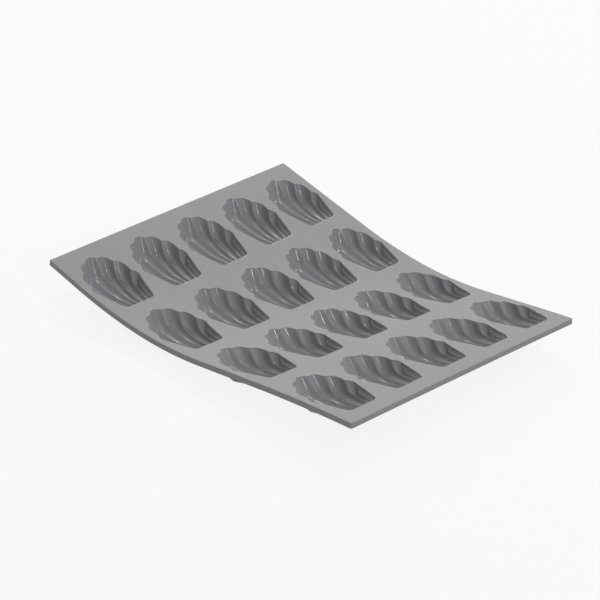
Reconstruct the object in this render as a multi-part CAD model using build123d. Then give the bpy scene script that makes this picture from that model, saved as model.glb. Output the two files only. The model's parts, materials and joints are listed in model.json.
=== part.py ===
from build123d import *
from math import cos, radians, sin
import os

os.makedirs("parts", exist_ok=True)

# One shell cavity, from its straight end to the tip of its middle lobe
cup_length = 42.0
cup_width = 31.0
cup_depth = 9.0
straight_end_width = 19.6
straight_end_chamfer = 1.2
flute_relief = 1.3
side_wall_inset = 1.2
floor_end_width = straight_end_width - 2 * side_wall_inset
cup_wall = 1.3

# The sheet as it is moulded: a thin deck with rows of shell shaped cups under it. The deck shows
# between the cups and round them, and the middle of each gap between two rows is a web that bends
deck_thickness = 3.0
cup_rows = 4
cup_columns = 5
row_gap = 8.2
column_gap = 3.6
end_margin = 8.7
side_margin = 3.3
web_clearance = 1.6
row_pitch = cup_length + row_gap
column_pitch = cup_width + column_gap
sheet_length = cup_rows * row_pitch - row_gap + 2 * end_margin
sheet_width = cup_columns * column_pitch - column_gap + 2 * side_margin
web_length = row_gap - 2 * web_clearance

# The flutes fan out from the straight end. The rim table has the ridges' ends, the notches
# between the lobes, and the lobes' tips, as shares of the cup's length and half width
flute_count = 7
facets_per_flute = 3
ridge_along_shares = (0.40, 0.552, 0.788, 0.938)
ridge_across_shares = (0.96, 0.893, 0.66, 0.27)
lobe_along_shares = (0.476, 0.714, 0.905, 1.0)
lobe_across_shares = (1.0, 0.88, 0.533, 0.0)
ridge_depth_shares = (0.38, 0.76, 0.94, 0.97)
flute_depth_shares = (0.62, 0.86, 0.97, 1.0)

# Stations along the fan: how far out each one lies, and how deep the floor is there
station_shares = (0.0, 0.12, 0.50, 0.82, 1.0)
station_depth_shares = (0.42, 0.58, 1.0, 0.86, 0.0)
end_wall_taper_share = 0.15
side_wall_end_share = 0.93

# The outside of a cup: its plan joins the lobes' tips, with a blunt end as a share of the half
# width, and three tiers as shares of that plan and of the depth go down to a flat foot
outline_tip_share = 0.16
tier_along_shares = (1.0, 0.93, 0.62)
tier_across_shares = (1.0, 0.87, 0.46)
tier_depth_shares = (0.0, 0.58, 1.0)
tier_shift_shares = (0.0, 0.0, 0.04)

# The flexed rest shape: tangent runs and bends from the lifted end to the low end, made about
# fold lines that lie askew of the cup rows
fold_skew = 13.5
lifted_heading = -14.2
lifted_run = 62.0
first_bend_run = 38.0
valley_run = 48.0
flat_run = 36.0
droop_run = 60.0
fold_runs = (lifted_run, first_bend_run, valley_run, flat_run, droop_run)
fold_bends = (0.0, 8.0, 13.5, 0.0, -4.2)
centre_run = sum(fold_runs) / 2

# How far cutting solids reach past what they cut
overrun = 12.0

# How far the sheet reaches from its middle, across the folds and along them
skew_cos, skew_sin = cos(radians(fold_skew)), sin(radians(fold_skew))
reach_across = (sheet_length * skew_cos + sheet_width * skew_sin) / 2
reach_along = (sheet_width * skew_cos + sheet_length * skew_sin) / 2

along_folds = Vector(skew_sin, skew_cos, 0)
across_folds = Vector(skew_cos, -skew_sin, 0)
upward = Vector(0, 0, 1)


def advance(x, z, heading, run, rate):
    """Follow a run of constant bend rate, in degrees per length, and return its end."""
    turned = heading + rate * run
    a, b = radians(heading), radians(turned)
    if rate == 0:
        return x + run * cos(a), z + run * sin(a), turned
    radius = 1 / radians(rate)
    return x + radius * (sin(b) - sin(a)), z + radius * (cos(a) - cos(b)), turned


def profile_from_start(distance):
    """Place and heading on the flexed profile, at a distance from its lifted end."""
    x, z, heading = 0, 0, lifted_heading
    for index, (run, bend) in enumerate(zip(fold_runs, fold_bends)):
        rate = bend / run
        last = index == len(fold_runs) - 1
        here = distance if last or distance < run else run
        x, z, heading = advance(x, z, heading, here, rate)
        distance -= here
        if distance == 0:
            break
    return x, z, heading


def profile_at(run):
    """Place and heading at a run measured from the middle of the sheet."""
    x0, z0, _ = profile_from_start(centre_run)
    x, z, heading = profile_from_start(centre_run + run)
    return x - x0, z - z0, heading


def below(run, across, depth):
    """A point under the flexed top face: run across the folds, and distance along them."""
    x, z, heading = profile_at(run)
    a = radians(heading)
    reach = x + depth * sin(a)
    return across_folds * reach + along_folds * across + upward * (z - depth * cos(a))


def sheet_point(a, b, depth=0):
    """A point of the sheet: a across and b along it from its middle, depth under its top."""
    return below(b * skew_cos - a * skew_sin, a * skew_cos + b * skew_sin, depth)


def sheet_frame(a, b):
    """The tangent plane there: X towards the lifted end, Z out of the top face."""
    heading = radians(profile_at(b * skew_cos - a * skew_sin)[2])
    tangent = across_folds * cos(heading) + upward * sin(heading)
    lengthwise = tangent * skew_cos + along_folds * skew_sin
    normal = upward * cos(heading) - across_folds * sin(heading)
    return Plane(origin=sheet_point(a, b), x_dir=lengthwise * -1, z_dir=normal)


def fold_knots():
    """Runs from the middle at which the bend rate changes, and past both ends of the sheet."""
    knots = [-reach_across - overrun]
    total = -centre_run
    for run in fold_runs[:-1]:
        total += run
        knots.append(total)
    return knots + [reach_across + overrun]


def profile_edges(across, depth):
    """The edges of the profile at one depth, each an arc or, where nothing bends, a line."""
    edges = []
    knots = fold_knots()
    for start, end, bend in zip(knots, knots[1:], fold_bends):
        first, last = below(start, across, depth), below(end, across, depth)
        if bend == 0:
            edges.append(Line(first, last).edge())
        else:
            middle = below((start + end) / 2, across, depth)
            edges.append(ThreePointArc(first, middle, last).edge())
    return edges


def ribbon(top, bottom):
    """The flexed sheet between two depths, drawn out along the folds past its sides."""
    reach = reach_along + overrun
    knots = fold_knots()
    upper, lower = profile_edges(-reach, top), profile_edges(-reach, bottom)
    ends = [
        Line(below(knot, -reach, top), below(knot, -reach, bottom)).edge()
        for knot in (knots[0], knots[-1])
    ]
    return Solid.extrude(Face(Wire(upper + lower + ends)), along_folds * (2 * reach))


def crosswise_cut(b):
    """The plane through the sheet at one length, facing the low end."""
    first = sheet_point(-sheet_width / 2, b)
    line = (sheet_point(sheet_width / 2, b) - first).normalized()
    normal = sheet_frame(0, b).z_dir
    return Plane(origin=first, x_dir=line, z_dir=line.cross(normal))


def lengthwise_cut(side, start, end):
    """The plane down one long edge of the sheet, facing its middle."""
    a = side * sheet_width / 2
    first, last = sheet_point(a, start), sheet_point(a, end)
    line = (last - first).normalized()
    normal = sheet_frame(a, (start + end) / 2).z_dir
    return Plane(origin=first, x_dir=line, z_dir=line.cross(normal) * side)


def strip(blank, start, end):
    """The part of a ribbon that belongs to one stretch of the sheet's length."""
    piece = blank.split(crosswise_cut(start), keep=Keep.TOP)
    piece = piece.split(crosswise_cut(end), keep=Keep.BOTTOM)
    for side in (-1, 1):
        piece = piece.split(lengthwise_cut(side, start, end), keep=Keep.TOP)
    return piece


def mirrored(shares, sign, one_middle):
    """A table for one half of the cup, carried over to the other half."""
    other = shares[:-1] if one_middle else shares
    return list(shares) + [sign * share for share in reversed(other)]


ridge_along = mirrored(ridge_along_shares, 1, False)
ridge_across = mirrored(ridge_across_shares, -1, False)
ridge_depths = mirrored(ridge_depth_shares, 1, False)
lobe_along = mirrored(lobe_along_shares, 1, True)
lobe_across = mirrored(lobe_across_shares, -1, True)
flute_depths = mirrored(flute_depth_shares, 1, True)


def fan_point(along, across, start_across, share, depth, first):
    """A point that has gone a share of the way from the straight end to its place on the rim."""
    x = end_wall_taper_share * depth if first else cup_length * along * share
    y = start_across + (cup_width / 2 * across - start_across) * share
    return Vector(x - cup_length / 2, y, -depth)


def ridges_at(station):
    """The tops of the ridges at one station, from one side wall's foot to the other's."""
    share, deep = station_shares[station], station_depth_shares[station]
    points = []
    for k in range(flute_count + 1):
        start = floor_end_width * (0.5 - k / flute_count)
        depth = (cup_depth * ridge_depths[k] - flute_relief) * deep
        point = fan_point(ridge_along[k], ridge_across[k], start, share, depth, share == 0)
        if k in (0, flute_count) and deep > 0:
            point.Y -= side_wall_inset * share * (1 if point.Y > 0 else -1)
        points.append(point)
    return points


def flute_bottom(station, k, ridges):
    """The lowest point of a flute at one station, or the tip of its lobe on the rim."""
    share, deep = station_shares[station], station_depth_shares[station]
    start = floor_end_width * (0.5 - (k + 0.5) / flute_count)
    depth = cup_depth * flute_depths[k] * deep
    point = fan_point(lobe_along[k], lobe_across[k], start, share, depth, share == 0)
    if k in (0, flute_count - 1) and deep > 0:
        middle = (ridges[k] + ridges[k + 1]) / 2
        point.Y = middle.Y
        point.X = point.X if share == 0 else middle.X
    return point


def rim_side(station, side):
    """The point of the straight side of the rim that belongs to a station."""
    share = station_shares[station] * (1 if station_depth_shares[station] else side_wall_end_share)
    x = cup_length * ridge_along[0] * share - cup_length / 2
    y = straight_end_width / 2 * (1 - share) + cup_width / 2 * ridge_across[0] * share
    y -= straight_end_chamfer if share == 0 else 0
    return Vector(x, side * y, 0)


def section(station):
    """The cavity's outline at one station: rim, side wall, seven flutes, side wall, rim."""
    ridges = ridges_at(station)
    points = [rim_side(station, 1)]
    for k in range(flute_count):
        first, last = ridges[k], ridges[k + 1]
        sag = flute_bottom(station, k, ridges) - (first + last) / 2
        for step in range(facets_per_flute):
            v = step / facets_per_flute
            points.append(first + (last - first) * v + sag * (4 * v * (1 - v)))
    return points + [ridges[-1], rim_side(station, -1)]


def cavity():
    """The space that the batter fills, with its mouth carried up past the deck."""
    sections = [section(n) for n in range(len(station_shares))]
    basin = Solid.make_loft([Wire.make_polygon(s, close=True) for s in sections], ruled=True)
    sides = [s[0] for s in sections[:-1]]
    others = [s[-1] for s in reversed(sections[:-1])]
    rim = Face(Wire.make_polygon(sides + sections[-1] + others, close=True))
    return basin + Solid.extrude(rim, upward * overrun)


def outer_tier(along_scale, across_scale, depth_share, shift_share):
    """The outside of the cup at one level: the rim's plan, grown by the wall and scaled."""
    half = [(-cup_length / 2, straight_end_width / 2)] + [
        ((along - 0.5) * cup_length, max(across, outline_tip_share) * cup_width / 2)
        for along, across in zip(lobe_along_shares, lobe_across_shares)
    ]
    plan = half + [(x, -y) for x, y in reversed(half)]
    grown = offset(Face(Wire.make_polygon(plan, close=True)), cup_wall, kind=Kind.INTERSECTION)
    shift = shift_share * cup_length
    depth = (cup_depth + cup_wall) * depth_share
    corners = [
        Vector(v.X * along_scale + shift, v.Y * across_scale, -depth)
        for v in grown.face().outer_wire().order_edges().vertices()
    ]
    return Wire.make_polygon(corners, close=True)


def cup_blank():
    """One cup in its own frame, before the deck is taken off its top."""
    tiers = zip(tier_along_shares, tier_across_shares, tier_depth_shares, tier_shift_shares)
    return Solid.make_loft([outer_tier(*tier) for tier in tiers], ruled=True) - cavity()


def row_middle(row):
    """Where a row of cups lies along the sheet, from its middle."""
    return (row - (cup_rows - 1) / 2) * row_pitch


def column_middle(column):
    """Where a column of cups lies across the sheet, from its middle."""
    return (column - (cup_columns - 1) / 2) * column_pitch


def stretches():
    """The deck of each row and the webs between them, as named stretches of the length."""
    pieces, start = [], -sheet_length / 2
    for row in range(cup_rows):
        last = row == cup_rows - 1
        middle = row_middle(row) + row_pitch / 2
        end = sheet_length / 2 if last else middle - web_length / 2
        pieces.append((f"deck_row_{row + 1}", start, end))
        if not last:
            start = middle + web_length / 2
            pieces.append((f"flex_web_{row + 1}", end, start))
    return pieces


def build():
    """Every named piece of the mould, in the frame of the sheet's middle."""
    pieces = {}
    deck_blank = ribbon(0, deck_thickness)
    above_cups = ribbon(-overrun, deck_thickness)
    for name, start, end in stretches():
        pieces[name] = strip(deck_blank, start, end)
    blank, hollow = cup_blank(), cavity()
    for row in range(cup_rows):
        deck = f"deck_row_{row + 1}"
        places = [sheet_frame(column_middle(c), row_middle(row)) for c in range(cup_columns)]
        pieces[deck] = pieces[deck] - [place.location * hollow for place in places]
        for column, place in enumerate(places):
            name = f"shell_cup_r{row + 1}c{column + 1}"
            pieces[name] = place.location * blank - above_cups
    return pieces


def settle(pieces):
    """The shift that puts the origin under the middle of the whole mould, on its feet."""
    boxes = [piece.bounding_box() for piece in pieces.values()]
    left, right = min(b.min.X for b in boxes), max(b.max.X for b in boxes)
    front, back = min(b.min.Y for b in boxes), max(b.max.Y for b in boxes)
    return Vector(-(left + right) / 2, -(front + back) / 2, -min(b.min.Z for b in boxes))


mould = build()
shift = settle(mould)
for node, solid in mould.items():
    export_step(solid.moved(Pos(*shift)), f"parts/{node}.step")

print("shift", [round(v, 3) for v in shift])
for row in range(1, cup_rows):
    b = row_middle(row) - row_pitch / 2
    ends = [sheet_point(side * sheet_width / 2, b, deck_thickness / 2) for side in (-1, 1)]
    middle = (ends[0] + ends[1]) / 2 + shift
    axis = (ends[1] - ends[0]).normalized()
    print("web", row, [round(v, 3) for v in middle], [round(v, 5) for v in axis])
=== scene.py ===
import json
from math import cos, pi, radians, sin

import bmesh
import bpy
import numpy as np
from mathutils import Matrix, Vector


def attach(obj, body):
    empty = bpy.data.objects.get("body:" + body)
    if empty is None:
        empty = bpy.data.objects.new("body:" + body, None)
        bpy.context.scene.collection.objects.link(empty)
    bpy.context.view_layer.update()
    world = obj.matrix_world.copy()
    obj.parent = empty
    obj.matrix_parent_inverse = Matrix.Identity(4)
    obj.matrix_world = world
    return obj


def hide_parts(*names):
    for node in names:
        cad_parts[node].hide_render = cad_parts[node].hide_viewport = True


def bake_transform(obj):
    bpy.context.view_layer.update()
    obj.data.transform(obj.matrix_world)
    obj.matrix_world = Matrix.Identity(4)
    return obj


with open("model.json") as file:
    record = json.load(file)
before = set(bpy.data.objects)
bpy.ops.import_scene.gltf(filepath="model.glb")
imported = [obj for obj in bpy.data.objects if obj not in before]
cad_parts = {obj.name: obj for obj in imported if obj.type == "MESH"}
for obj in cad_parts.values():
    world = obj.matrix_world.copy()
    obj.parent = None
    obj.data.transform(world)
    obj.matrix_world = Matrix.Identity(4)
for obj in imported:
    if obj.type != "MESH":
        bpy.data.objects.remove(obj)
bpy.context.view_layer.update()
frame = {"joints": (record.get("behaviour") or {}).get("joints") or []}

# The deck rows. The deck is a 3 mm sheet of grey silicone, pressed in one go with its cups. It is
# matte with a very fine grain, its corners are nearly sharp, and it lies flexed: the first row is
# lifted, the middle sags, and the folds run askew of the rows.
cup_length = 0.042
cup_width = 0.031
deck_thickness = 0.003
cup_rows = 4
cup_columns = 5
row_gap = 0.0082
column_gap = 0.0036
end_margin = 0.0087
side_margin = 0.0033
web_clearance = 0.0016
row_pitch = cup_length + row_gap
column_pitch = cup_width + column_gap
sheet_length = cup_rows * row_pitch - row_gap + 2 * end_margin
sheet_width = cup_columns * column_pitch - column_gap + 2 * side_margin
web_length = row_gap - 2 * web_clearance

# The sheet falls from its lifted end at lifted_heading, and over each run it turns by its bend, in
# degrees
fold_skew = radians(13.5)
lifted_heading = radians(-14.2)
fold_runs = (0.062, 0.038, 0.048, 0.036, 0.060)
fold_bends = (0.0, 8.0, 13.5, 0.0, -4.2)


def profile(run):
    """Reach, height and heading of the flexed sheet, run metres past its lifted end.

    Each fold turns the heading evenly. Over a part of a fold of bend rate r the reach grows by
    (sin(after) - sin(before)) / r and the height by (cos(before) - cos(after)) / r, and where
    nothing bends they grow by part cos(heading) and part sin(heading).
    """
    reach, height = np.zeros_like(run), np.zeros_like(run)
    heading = np.full_like(run, lifted_heading)
    begun = 0.0
    for index, (length, bend) in enumerate(zip(fold_runs, fold_bends)):
        low = 0.0 if index else -np.inf
        high = length if index < len(fold_runs) - 1 else np.inf
        part = np.clip(run - begun, low, high)
        rate = radians(bend) / length
        after = heading + rate * part
        if rate:
            reach = reach + (np.sin(after) - np.sin(heading)) / rate
            height = height + (np.cos(heading) - np.cos(after)) / rate
        else:
            reach = reach + part * np.cos(heading)
            height = height + part * np.sin(heading)
        heading = after
        begun += length
    return reach, height, heading


def flexed(a, b, depth):
    """The flat mould's point a across and b along it, depth under its top, on the flexed one.

    The way across the folds is b cos(skew) - a sin(skew), and the way along them is
    a cos(skew) + b sin(skew). The depth goes square to the sheet's heading.
    """
    a, b, depth = np.broadcast_arrays(*(np.asarray(v, float) for v in (a, b, depth)))
    middle = sum(fold_runs) / 2
    reach, height, heading = profile(b * cos(fold_skew) - a * sin(fold_skew) + middle)
    reach0, height0, _ = profile(np.array([middle]))
    along = a * cos(fold_skew) + b * sin(fold_skew)
    out = reach - reach0 + depth * np.sin(heading)
    x = out * cos(fold_skew) + along * sin(fold_skew)
    y = -out * sin(fold_skew) + along * cos(fold_skew)
    return np.stack([x, y, height - height0 - depth * np.cos(heading)], axis=-1)


# The middle web's hinge says where the sheet's middle lies in the frame
middle_joint = next(j for j in frame["joints"] if j["name"] == "web_flex_2")
web_ends = flexed([-sheet_width / 2, sheet_width / 2], 0, deck_thickness / 2)
sheet_place = np.array(middle_joint["pos_m"]) - web_ends.mean(axis=0)


def in_place(a, b, depth):
    """A point of the flat mould, in the frame."""
    return flexed(a, b, depth) + sheet_place


# Points that are nearer than this become one
weld_distance = 1e-7


def make_piece(name, grids, sharp_angle, shares=None):
    """A closed mesh from grids of points, rows by columns by 3, welded where they meet.

    shares gives each grid a number, which becomes the attribute inside on its points.
    """
    points, quads, inside, count = [], [], [], 0
    for index, grid in enumerate(grids):
        rows, columns = grid.shape[:2]
        ids = np.arange(rows * columns).reshape(rows, columns) + count
        corners = ids[:-1, :-1], ids[1:, :-1], ids[1:, 1:], ids[:-1, 1:]
        quads.append(np.stack([c.ravel() for c in corners], axis=1))
        points.append(grid.reshape(-1, 3))
        inside.append(np.full(rows * columns, shares[index] if shares else 0.0))
        count += rows * columns
    points, quads, inside = np.concatenate(points), np.concatenate(quads), np.concatenate(inside)
    keys = np.round(points / weld_distance).astype(np.int64)
    _, first, back = np.unique(keys, axis=0, return_index=True, return_inverse=True)
    quads = back.reshape(-1)[quads]
    pinched = quads == np.roll(quads, -1, axis=1)
    whole = quads[~pinched.any(axis=1)]
    once = pinched.sum(axis=1) == 1
    triangles = quads[once][~pinched[once]].reshape(-1, 3)
    mesh = bpy.data.meshes.new(name)
    mesh.from_pydata(points[first].tolist(), [], whole.tolist() + triangles.tolist())
    shell = bmesh.new()
    shell.from_mesh(mesh)
    bmesh.ops.recalc_face_normals(shell, faces=shell.faces)
    shell.to_mesh(mesh)
    shell.free()
    mesh.attributes.new("inside", "FLOAT", "POINT").data.foreach_set("value", inside[first])
    mesh.polygons.foreach_set("use_smooth", np.ones(len(mesh.polygons), bool))
    mesh.set_sharp_from_angle(angle=sharp_angle)
    piece = bpy.data.objects.new(name, mesh)
    bpy.context.scene.collection.objects.link(piece)
    return piece


# The cavity, as shares of the cup's length, half width and depth: the ridges, which end in the
# notches between the lobes, and the flutes, which end in the lobes' tips, from one side of the fan
# to its middle. A swell share is how far along its way each has reached its depth.
cup_depth = 0.009
straight_end_width = 0.0196
side_inset = 0.0012
end_corner = 0.002
flute_count = 7
ridge_along_shares = (0.40, 0.552, 0.788, 0.938)
ridge_across_shares = (0.96, 0.893, 0.66, 0.27)
ridge_depth_shares = (0.52, 0.72, 0.94, 0.97)
ridge_swell_shares = (0.95, 0.95, 0.60, 0.55)
lobe_along_shares = (0.476, 0.714, 0.905, 1.0)
lobe_across_shares = (1.0, 0.88, 0.533, 0.0)
flute_depth_shares = (0.60, 0.83, 0.96, 1.0)
flute_swell_shares = (0.95, 0.75, 0.55, 0.55)


def both_sides(shares, sign, shared_middle):
    """A table for one side of the fan, carried over to the other side."""
    other = shares[:-1] if shared_middle else shares
    return np.array(list(shares) + [sign * s for s in reversed(other)])


ridge_along = both_sides(ridge_along_shares, 1, False)
ridge_across = both_sides(ridge_across_shares, -1, False)
ridge_depth = both_sides(ridge_depth_shares, 1, False)
ridge_swell = both_sides(ridge_swell_shares, 1, False)
lobe_along = both_sides(lobe_along_shares, 1, True)
lobe_across = both_sides(lobe_across_shares, -1, True)
flute_depth = both_sides(flute_depth_shares, 1, True)
flute_swell = both_sides(flute_swell_shares, 1, True)

# The way across the fan: -1 to 0 is one side wall, each flute takes 1, and the last 1 is the other
# side wall. wall_way is 1 at the rim and 0 at the wall's foot.
flute_steps = 12
wall_steps = 4
fan_steps = 56
share_out = (1 - np.cos(np.linspace(0, pi, fan_steps + 1)))[:, None] / 2
over_flutes = np.linspace(0, flute_count, flute_count * flute_steps + 1)
up_wall = np.linspace(0, 1, wall_steps + 1)[1:]
fan_way = np.concatenate([-up_wall[::-1], over_flutes, flute_count + up_wall])[None, :]
flute = np.clip(np.floor(fan_way).astype(int), 0, flute_count - 1)
way = np.clip(fan_way - flute, 0, 1)
wall_way = np.clip(np.maximum(-fan_way, fan_way - flute_count), 0, 1)


def smoothstep(x):
    """0 below 0, 1 above 1, and 3 x^2 - 2 x^3 between."""
    x = np.clip(x, 0, 1)
    return x * x * (3 - 2 * x)


ridge_softness = 0.07


def channel(v, soft_start=True, soft_end=True):
    """The cross section of a flute, 0 on its two ridges and 1 at its bottom.

    It is the parabola 4 v (1 - v), times 1 - exp(-v / softness) towards each ridge that is
    rounded.
    """
    start = np.where(soft_start, 1 - np.exp(-v / ridge_softness), 1)
    end = np.where(soft_end, 1 - np.exp(-(1 - v) / ridge_softness), 1)
    return 4 * v * (1 - v) * start * end


end_floor_share = 0.42
far_wall_share = 0.19
far_wall_softness = 0.16
end_wall_run = 0.0006


def floor_share(share, x_run, swell_share):
    """The floor's depth along the fan, as a share of its greatest.

    It swells as a sine from end_floor_share to 1, reached at swell_share. The far wall falls in a
    straight line over the last far_wall_share, and the smooth least of the two is
    -s log(exp(-a / s) + exp(-b / s)). At the straight end it goes down from the rim as
    1 - exp(-run / end_wall_run).
    """
    turn = pi / 2 * np.clip(share / swell_share, 0, 1)
    swell = end_floor_share + (1 - end_floor_share) * np.sin(turn)
    wall = (1 - share) / far_wall_share
    both = np.exp(-swell / far_wall_softness) + np.exp(-wall / far_wall_softness)
    least = np.clip(-far_wall_softness * np.log(both), 0, None)
    return least * (1 - np.exp(-x_run / end_wall_run))


wall_bow = 1.5
inset_fades_share = 0.80
lobe_begins_share = 0.70


def fan(relief):
    """The cavity's surface: x from -length / 2 to length / 2, y, and depth, all in metres.

    Ridge j runs straight from its start on the straight end to its notch in the rim, and so does
    each flute's bottom, to its lobe's tip. A ridge lies relief above the depth that its share
    gives. A flute is the straight line between its two ridges plus channel(v) times the bottom's
    distance from that line. The outer two ridges are the feet of the side walls, side_inset
    inside the rim, and a wall goes up from its foot as 1 - way^wall_bow.
    """
    u = share_out
    floor_width = straight_end_width - 2 * side_inset
    inset = side_inset * (1 - smoothstep((u - inset_fades_share) / (1 - inset_fades_share)))

    def spoke(along, across, number):
        start = floor_width * (0.5 - number / flute_count)
        return cup_length * along * u, start + (cup_width / 2 * across - start) * u

    def ridge(number):
        x, y = spoke(ridge_along[number], ridge_across[number], number)
        depth = cup_depth * ridge_depth[number] - relief
        depth = depth * floor_share(u, x, ridge_swell[number])
        line = straight_end_width / 2 * (1 - u) + cup_width / 2 * ridge_across_shares[0] * u
        bent = np.clip(end_corner - x, 0, None)
        line = line - end_corner + np.sqrt(np.clip(end_corner**2 - bent**2, 0, None)) - inset
        y = np.where(number == 0, line, np.where(number == flute_count, -line, y))
        return x, y, depth

    x0, y0, d0 = ridge(flute)
    x1, y1, d1 = ridge(flute + 1)
    xf, yf = spoke(lobe_along[flute], lobe_across[flute], flute + 0.5)
    df = cup_depth * flute_depth[flute] * floor_share(u, xf, flute_swell[flute])
    first, last = flute == 0, flute == flute_count - 1
    free = np.where(first | last, smoothstep((u - lobe_begins_share) / (1 - lobe_begins_share)), 1)
    xm, ym, dm = (x0 + x1) / 2, (y0 + y1) / 2, (d0 + d1) / 2
    bow = channel(way, ~first, ~last)
    x = x0 + (x1 - x0) * way + (xf - xm) * free * bow
    y = y0 + (y1 - y0) * way + (yf - ym) * free * bow + np.sign(y0) * inset * wall_way
    depth = (d0 + (d1 - d0) * way + (df - dm) * bow) * (1 - wall_way**wall_bow)
    return x - cup_length / 2, y, np.clip(depth, 0, None)


def boundary(grid):
    """The closed loop round a grid: along its last row, back along its first, and both sides."""
    sides = grid[-1], grid[::-1, -1][1:], grid[0, ::-1][1:], grid[1:, 0]
    return np.concatenate(sides)


def grown(x, y, by):
    """Points about the cup's middle, spread so that a cup grows by a length on every side.

    They go to x (1 + by / half length) and y (1 + by / half width).
    """
    return x * (1 + by / (cup_length / 2)), y * (1 + by / (cup_width / 2))


flute_relief = 0.0019
cavity_x, cavity_y, cavity_depth = fan(flute_relief)
rim_x, rim_y = boundary(cavity_x), boundary(cavity_y)

# Under the deck a cup meets it a little way outside the rim
skirt = 0.0018
skirt_x, skirt_y = grown(rim_x, rim_y, skirt)

# The sheet's edge is square, with both its arrises eased by a small quarter round
edge_reach = 0.001
edge_round = 0.0003
edge_steps = 5
edge_turn = np.linspace(0, pi / 2, edge_steps)
upper_reach = edge_reach - edge_round + edge_round * np.sin(edge_turn)
upper_depth = edge_round - edge_round * np.cos(edge_turn)
profile_reach = np.concatenate([[0], upper_reach, upper_reach[::-1], [0]])
lower_depth = deck_thickness - upper_depth[::-1]
profile_depth = np.concatenate([[0], upper_depth, lower_depth, [deck_thickness]])


def to_cell_edge(a, b, low, high):
    """A loop's points carried out from the middle to the edge of the rectangle from low to high.

    Each goes along its own ray, and the nearest one to each corner is set on the corner.
    """
    side_a, side_b = np.where(a > 0, high[0], low[0]), np.where(b > 0, high[1], low[1])
    with np.errstate(divide="ignore"):
        stretch_a, stretch_b = np.abs(side_a / a), np.abs(side_b / b)
    edge_a = np.where(stretch_a <= stretch_b, side_a, a * np.minimum(stretch_a, stretch_b))
    edge_b = np.where(stretch_b < stretch_a, side_b, b * np.minimum(stretch_a, stretch_b))
    angle = np.arctan2(b, a)
    for corner_a in (low[0], high[0]):
        for corner_b in (low[1], high[1]):
            turned = np.abs(np.angle(np.exp(1j * (angle - np.arctan2(corner_b, corner_a)))))
            nearest = turned == turned.min()
            edge_a[nearest], edge_b[nearest] = corner_a, corner_b
    return edge_a, edge_b


def between(first, last, steps):
    """Rows of points that go evenly from one row to another, as first (1 - t) + last t."""
    t = np.linspace(0, 1, steps + 1)[:, None]
    return first[None, :] * (1 - t) + last[None, :] * t


def row_middle(row):
    """Where a row of cups lies along the sheet: whole pitches from the middle of all rows."""
    return (row - (cup_rows - 1) / 2) * row_pitch


def column_middle(column):
    """Where a column of cups lies across it: whole pitches from the middle of all columns."""
    return (column - (cup_columns - 1) / 2) * column_pitch


def edge_band(a, b, out_a, out_b):
    """The sheet's edge: its profile, reach by depth, carried along base points.

    Each base point has its own way outwards, out_a across and out_b along, of length 1.
    """
    reach, depth = profile_reach[:, None], profile_depth[:, None]
    return in_place(a + out_a * reach, b + out_b * reach, depth + 0 * a)


def cut_face(a, b):
    """The flat end of a strip at a cut across the sheet, with the edge's profile at its ends."""
    faces = [in_place(a[None, :], b, profile_depth[:, None])]
    for end, side in ((a[0], -1), (a[-1], 1)):
        ends = np.array([[0.0, 1.0]]) * profile_reach[:, None]
        faces.append(in_place(end + side * ends, b, profile_depth[:, None]))
    return faces


top_steps = 6
under_steps = 3
base_half = sheet_width / 2 - edge_reach
cut_decimals = 9
deck_sharp_angle = radians(50)


def deck_grids(row):
    """Every surface of one deck row: both faces round the five holes, edges and cuts."""
    middle = row_middle(row)
    first, last = row == 0, row == cup_rows - 1
    half = (row_pitch - web_length) / 2
    low_b = -sheet_length / 2 + edge_reach - middle if first else -half
    high_b = sheet_length / 2 - edge_reach - middle if last else half
    grids, front, back, sides = [], [], [], {}
    rim_a, rim_b, under_a, under_b = -rim_y, -rim_x, -skirt_y, -skirt_x
    for column in range(cup_columns):
        across = column_middle(column)
        low_a = -base_half - across if column == 0 else -column_pitch / 2
        high_a = base_half - across if column == cup_columns - 1 else column_pitch / 2
        edge_a, edge_b = to_cell_edge(rim_a, rim_b, (low_a, low_b), (high_a, high_b))
        top = between(rim_a, edge_a, top_steps), between(rim_b, edge_b, top_steps)
        under = between(under_a, edge_a, under_steps), between(under_b, edge_b, under_steps)
        wall = between(rim_a, under_a, 1), between(rim_b, under_b, 1)
        wall_depth = np.array([[0.0], [deck_thickness]])
        for (a, b), depth in ((top, 0), (under, deck_thickness), (wall, wall_depth)):
            grids.append(in_place(across + a, middle + b, depth))
        front.append(across + edge_a[edge_b == low_b])
        back.append(across + edge_a[edge_b == high_b])
        if column == 0:
            sides[-1] = middle + np.unique(edge_b[edge_a == low_a])
        if column == cup_columns - 1:
            sides[1] = middle + np.unique(edge_b[edge_a == high_a])
    for side, along in sides.items():
        grids.append(edge_band(side * base_half + 0 * along, along, side, 0))
    for at_end, level, values in ((first, low_b, front), (last, high_b, back)):
        values = np.unique(np.round(np.concatenate(values), cut_decimals))
        if not at_end:
            grids.extend(cut_face(values, middle + level))
            continue
        out = 1 if level > 0 else -1
        grids.append(edge_band(values, middle + level + 0 * values, 0, out))
        for side in (-1, 1):
            around = side * base_half + 0 * edge_turn, middle + level + 0 * edge_turn
            turned = side * np.cos(edge_turn), out * np.sin(edge_turn)
            grids.append(edge_band(*around, *turned))
    return grids


class Value:
    """A socket of a material's nodes, which can be added, multiplied and compared."""

    def __init__(self, finish, socket):
        self.finish, self.socket = finish, socket

    def math(self, operation, *others):
        inputs = {0: self, **dict(enumerate(others, start=1))}
        return self.finish.add("ShaderNodeMath", {"operation": operation}, inputs)

    def __add__(self, other):
        return self.math("ADD", other)

    def __mul__(self, other):
        return self.math("MULTIPLY", other)

    def __sub__(self, other):
        return self.math("SUBTRACT", other)

    def __rsub__(self, other):
        return self * -1.0 + other

    __radd__, __rmul__ = __add__, __mul__


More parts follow.
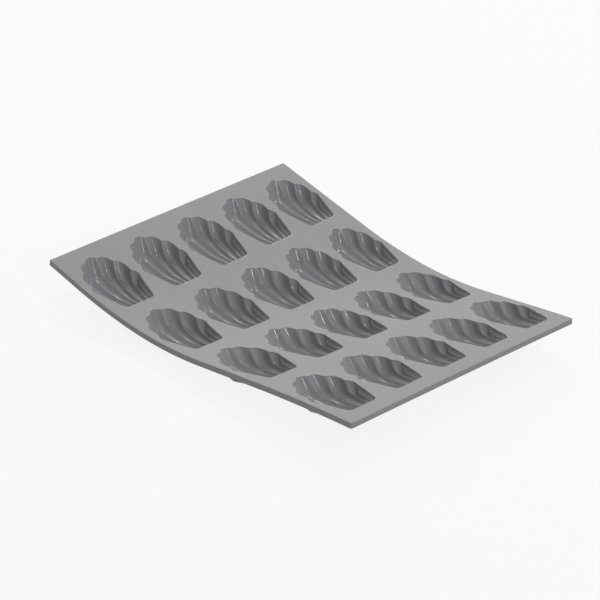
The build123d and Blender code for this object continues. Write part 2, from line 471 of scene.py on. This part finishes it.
class Finish:
    """The nodes of a material or of the world, and the one way in which they are added."""

    def __init__(self, owner, shader):
        owner.use_nodes = True
        self.owner, self.tree = owner, owner.node_tree
        self.shader = self.tree.nodes[shader]

    def fill(self, node, inputs):
        """Gives a node's sockets their values, or their links where they are Values."""
        for key, value in inputs.items():
            if isinstance(value, Value):
                self.tree.links.new(value.socket, node.inputs[key])
            else:
                node.inputs[key].default_value = value

    def add(self, kind, settings, inputs, output=0):
        """One node of a type: its settings first, and then its sockets. Gives one output."""
        node = self.tree.nodes.new(kind)
        for key, value in settings.items():
            setattr(node, key, value)
        self.fill(node, inputs)
        return Value(self, node.outputs[output])

    def noise(self, scale, detail, stretch=(1, 1, 1)):
        """Noise on the piece's own coordinates, times stretch and scale."""
        place = self.add("ShaderNodeTexCoord", {}, {}, "Object")
        where = self.add("ShaderNodeMapping", {}, {"Vector": place, "Scale": stretch})
        settings = {"Vector": where, "Scale": scale, "Detail": detail}
        return self.add("ShaderNodeTexNoise", {}, settings)

    def bump(self, value, strength, distance):
        """A surface roughened by a value, which is distance metres high, times strength."""
        inputs = {"Strength": strength, "Distance": distance, "Height": value}
        return self.add("ShaderNodeBump", {}, inputs)

    def mix(self, share, first, second):
        """A colour between two, by the Mix node's sockets for colours."""
        settings = {"data_type": "RGBA", "clamp_factor": True}
        return self.add("ShaderNodeMix", settings, {0: share, 6: first, 7: second}, 2)

    def seen(self):
        """1 for a ray from the camera, off gloss or through glass, and 0 for soft light."""
        kinds = ("Camera", "Glossy", "Transmission")
        rays = [self.add("ShaderNodeLightPath", {}, {}, f"Is {kind} Ray") for kind in kinds]
        return rays[0].math("MAXIMUM", rays[1]).math("MAXIMUM", rays[2])

    def feed(self, **sockets):
        """Sets the shader's own sockets, by their names."""
        self.fill(self.shader, {name.replace("_", " "): v for name, v in sockets.items()})


# A fine grain that roughens the deck, under a slow cloud of a slightly darker grey
silicone_ior = 1.41
grain_scale, grain_detail = 2600.0, 2.0
grain_height = 0.0001
cloud_scale, cloud_detail = 28.0, 3.0
deck_grain_share = 0.25
deck_roughness, deck_roughness_spread = 0.50, 0.12
deck_light, deck_dark = (0.340, 0.340, 0.340, 1), (0.310, 0.310, 0.312, 1)

matte = Finish(bpy.data.materials.new("matte_silicone"), "Principled BSDF")
grain = matte.noise(grain_scale, grain_detail)
cloud = matte.noise(cloud_scale, cloud_detail)
matte.feed(
    Base_Color=matte.mix(cloud, deck_dark, deck_light),
    Roughness=grain * deck_roughness_spread + deck_roughness,
    Normal=matte.bump(grain, deck_grain_share, grain_height),
    IOR=silicone_ior,
)

for row in range(cup_rows):
    deck = make_piece(f"deck_{row + 1}", deck_grids(row), deck_sharp_angle)
    deck.data.materials.append(matte.owner)
    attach(deck, f"row_{row + 1}")
    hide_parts(f"deck_row_{row + 1}")

# The webs. Between two rows the sheet is bare silicone, 5 mm of it in each web.
# A web is the same matte silicone as the deck, and one with it on both sides.
web_steps = 12
web_columns = 88

for web in range(1, cup_rows):
    middle = (row_middle(web - 1) + row_middle(web)) / 2
    across = np.linspace(-base_half, base_half, web_columns + 1)
    along = middle + np.linspace(-web_length / 2, web_length / 2, web_steps + 1)
    grids = [in_place(across[None, :], along[:, None], d) for d in (0, deck_thickness)]
    grids += [edge_band(side * base_half + 0 * along, along, side, 0) for side in (-1, 1)]
    grids += cut_face(across, along[0]) + cut_face(across, along[-1])
    strip = make_piece(f"web_{web}", grids, deck_sharp_angle)
    strip.data.materials.append(matte.owner)
    start, end = in_place([0, 0], [along[0], along[-1]], deck_thickness / 2)
    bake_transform(strip)
    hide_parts(f"flex_web_{web}")

# The shell cups. Each is a thin domed wall under its hole in the deck, with seven flutes that fan
# out from a straight end to the lobes of the rim. The steel mould was polished there, so the
# cavity is glossy, and the outside is matte and shows the flutes only faintly.
lip = 0.0004
lip_steps = 5
foot_depth = 0.0103
outside_relief = 0.0002
side_wall, foot_wall = 0.0003, 0.0022
foot_power = 8
outside_reach = 0.0002
skirt_fall = 0.0008
deck_softness = 0.0004
foot_softness = 0.00015
cup_sharp_angle = radians(60)


def outside_of(depth):
    """The depth of the outside under a depth of the cavity.

    The wall grows from side_wall to foot_wall as (depth / cup_depth)^foot_power. By the deck the
    outside is the smooth greatest of the deck's thickness d and x = depth + wall, which is
    d + s log(1 + exp((x - d) / s)), less what that stands past d at the rim. At the bottom it is
    the smooth least of that and the flat foot f, which is f - s log(1 + exp((f - x) / s)).
    """
    wall = side_wall + (foot_wall - side_wall) * (depth / cup_depth) ** foot_power
    past = (depth + wall - deck_thickness) / deck_softness
    past_rim = (side_wall - deck_thickness) / deck_softness
    under = deck_thickness + deck_softness * (np.logaddexp(0, past) - np.logaddexp(0, past_rim))
    return foot_depth - foot_softness * np.logaddexp(0, (foot_depth - under) / foot_softness)


def cup_grids():
    """A cup in its own flat frame, as x, y, depth: cavity, lip, hidden wall and outside.

    The lip is a quarter round, in as sin and down as 1 - cos. The outside is the same fan with
    less relief, and it spreads towards the skirt as exp(-depth / skirt_fall).
    """
    x, y = grown(cavity_x, cavity_y, -lip)
    inner = np.stack([x, y, lip + (cup_depth - lip) * cavity_depth / cup_depth], axis=-1)
    inner_x, inner_y = boundary(x), boundary(y)
    bend = np.linspace(0, pi / 2, lip_steps)[:, None]
    ring = [
        rim_x + (inner_x - rim_x) * np.sin(bend),
        rim_y + (inner_y - rim_y) * np.sin(bend),
        lip * (1 - np.cos(bend)) + 0 * rim_x,
    ]
    out_x, out_y, out_depth = fan(outside_relief)
    reach = outside_reach + (skirt - outside_reach) * np.exp(-out_depth / skirt_fall)
    outer = np.stack([*grown(out_x, out_y, reach), outside_of(out_depth)], axis=-1)
    hidden = [
        between(rim_x, skirt_x, 1),
        between(rim_y, skirt_y, 1),
        np.array([[0.0], [deck_thickness]]) + 0 * rim_x,
    ]
    return [inner, np.stack(ring, axis=-1), np.stack(hidden, axis=-1), outer]


# The cavity's gloss is the outside's roughness less polish, with streaks along the cup in both the
# gloss and the grey.
# The cup's grey is also a little darker than the deck's, which is painted shade for the cavity.
cup_roughness, cup_roughness_spread = 0.52, 0.08
polish = 0.40
streak_scale, streak_detail, streak_stretch = 160.0, 3.0, (1, 3, 1)
cup_grain_share = 0.15
# The dark end of the cup's streaks is partly real streaking and partly painted shade
cup_light, cup_streak_and_shade_dark = (0.330, 0.332, 0.339, 1), (0.272, 0.274, 0.282, 1)

glossy = Finish(bpy.data.materials.new("cavity_silicone"), "Principled BSDF")
inside = glossy.add("ShaderNodeAttribute", {"attribute_name": "inside"}, {}, "Fac")
fine = glossy.noise(grain_scale, grain_detail)
streaks = glossy.noise(streak_scale, streak_detail, streak_stretch)
glossy.feed(
    Base_Color=glossy.mix(streaks, cup_streak_and_shade_dark, cup_light),
    Roughness=cup_roughness - inside * polish + streaks * cup_roughness_spread,
    Normal=glossy.bump(fine, cup_grain_share, grain_height),
    IOR=silicone_ior,
)

cup_parts = cup_grids()
for row in range(cup_rows):
    for column in range(cup_columns):
        grids = [
            in_place(column_middle(column) - p[..., 1], row_middle(row) - p[..., 0], p[..., 2])
            for p in cup_parts
        ]
        label = f"r{row + 1}c{column + 1}"
        cup = make_piece(f"cup_{label}", grids, cup_sharp_angle, shares=(1, 1, 0, 0))
        cup.data.materials.append(glossy.owner)
        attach(cup, f"row_{row + 1}")
        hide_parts(f"shell_cup_{label}")

# The floor, the lights and the camera. The mould lies on a plain white floor, in soft light from
# above and behind, with two small lamps on its right, and is seen from above one of its corners.
floor_half = 4.0
floor_colour, floor_roughness = (0.80, 0.80, 0.80, 1), 0.9
floor_signs = ((-1, -1), (1, -1), (1, 1), (-1, 1))
floor_mesh = bpy.data.meshes.new("floor")
floor_corners = [(x * floor_half, y * floor_half, 0) for x, y in floor_signs]
floor_mesh.from_pydata(floor_corners, [], [(0, 1, 2, 3)])
floor = bpy.data.objects.new("floor", floor_mesh)
bpy.context.scene.collection.objects.link(floor)
white = Finish(bpy.data.materials.new("white_floor"), "Principled BSDF")
white.feed(Base_Color=floor_colour, Roughness=floor_roughness)

# What is seen of the floor is plain white to this share, and the rest keeps the mould's shadow
floor_white = 0.88
glow = white.add("ShaderNodeEmission", {}, {"Color": (1, 1, 1, 1), "Strength": 1.0})
surface = Value(white, white.shader.outputs[0])
shown = white.add("ShaderNodeMixShader", {}, {0: white.seen() * floor_white, 1: surface, 2: glow})
white.tree.links.new(shown.socket, white.tree.nodes["Material Output"].inputs["Surface"])
floor_mesh.materials.append(white.owner)

# The world is white where it is seen, and lights the mould only softly
sky_light = 0.19
studio = Finish(bpy.data.worlds.new("studio"), "Background")
studio.feed(Color=(1, 1, 1, 1), Strength=studio.seen() * (1 - sky_light) + sky_light)
bpy.context.scene.world = studio.owner


def lamp(name, azimuth, elevation, distance, size, power):
    """A square soft light that looks at the mould's middle from a bearing.

    Azimuth 0 is -Y and 90 is +X, so its way back is (sin a cos e, -cos a cos e, sin e).
    """
    data = bpy.data.lights.new(name, "AREA")
    data.size, data.energy = size, power
    light = bpy.data.objects.new(name, data)
    a, e = radians(azimuth), radians(elevation)
    back = Vector((sin(a) * cos(e), -cos(a) * cos(e), sin(e)))
    turned = back.to_track_quat("Z", "Y").to_matrix().to_4x4()
    light.matrix_world = Matrix.Translation(back * distance) @ turned
    bpy.context.scene.collection.objects.link(light)


# Azimuth and elevation in degrees, distance and size in metres, power in watts
lamps = {
    "above": (184, 58, 1.3, 0.45, 5.3),
    "behind": (232, 40, 3.0, 0.65, 13.8),
    "behind_low": (227, 24, 3.0, 0.60, 9.6),
    "right": (66, 29, 3.0, 0.20, 10.4),
    "right_high": (77, 54, 3.0, 0.20, 11.4),
}
for lamp_name, settings in lamps.items():
    lamp(lamp_name, *settings)

camera_aim = Vector((-0.006505, -0.000572, 0.012830))
camera_distance = 1.02338
camera_azimuth = radians(39.873)
camera_elevation = radians(26.972)
camera_roll = radians(5.665)
camera_lens = 117.74
camera_data = bpy.data.cameras.new("camera")
camera_data.lens = camera_lens
camera = bpy.data.objects.new("camera", camera_data)
bpy.context.scene.collection.objects.link(camera)
away = Vector((
    sin(camera_azimuth) * cos(camera_elevation),
    -cos(camera_azimuth) * cos(camera_elevation),
    sin(camera_elevation),
))
level = Vector((cos(camera_azimuth), sin(camera_azimuth), 0))
upright = away.cross(level)
right = level * cos(camera_roll) + upright * sin(camera_roll)
axes = Matrix((right, away.cross(right), away)).transposed()
camera.matrix_world = Matrix.Translation(camera_aim + away * camera_distance) @ axes.to_4x4()
bpy.context.scene.camera = camera
bpy.context.scene.view_settings.view_transform = "Standard"
